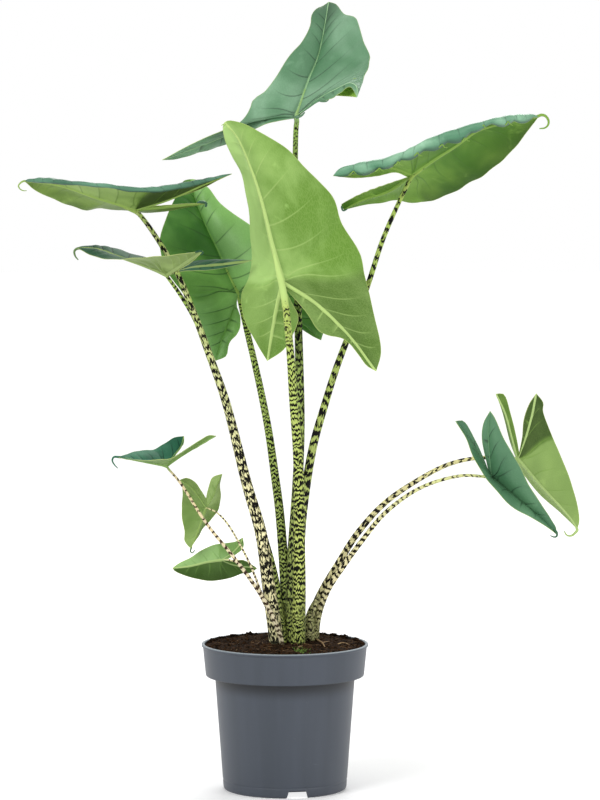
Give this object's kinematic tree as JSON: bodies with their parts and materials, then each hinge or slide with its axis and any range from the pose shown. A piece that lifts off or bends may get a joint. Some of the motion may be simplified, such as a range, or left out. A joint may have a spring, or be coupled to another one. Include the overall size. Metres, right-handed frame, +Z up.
{
  "type": "potted houseplant",
  "caption": "Tall potted foliage plant: long striped stems rise from peat in a tapered plastic nursery pot and carry large arrow-shaped leaves.",
  "frame": {"origin": "centre of the pot's underside, on the surface that it stands on", "axes": "+Z up along the pot's axis; -Y is the front, the side that the picture shows; +X to the right"},
  "size_m": [0.695, 0.2775, 0.9933],
  "materials": {
    "pot_plastic": "satin slate blue-grey",
    "peat": "rough crumbly dark brown",
    "stem": "smooth pale green and cream with near-black bands",
    "leaf_blade": "satin green, paler underneath, with raised veins"
  },
  "bodies": {
    "root": {"pot": "pot_plastic", "soil": "peat", "stems_left": "stem", "stems_centre": "stem", "stems_right": "stem", "leaf_left": "leaf_blade", "leaf_low": "leaf_blade", "leaf_small_high": "leaf_blade", "leaf_small_mid": "leaf_blade", "leaf_small_low": "leaf_blade", "leaf_front": "leaf_blade", "leaf_top": "leaf_blade", "leaf_back": "leaf_blade", "leaf_right": "leaf_blade", "leaf_small_right": "leaf_blade", "leaf_tall_right": "leaf_blade"}
  },
  "joints": []
}
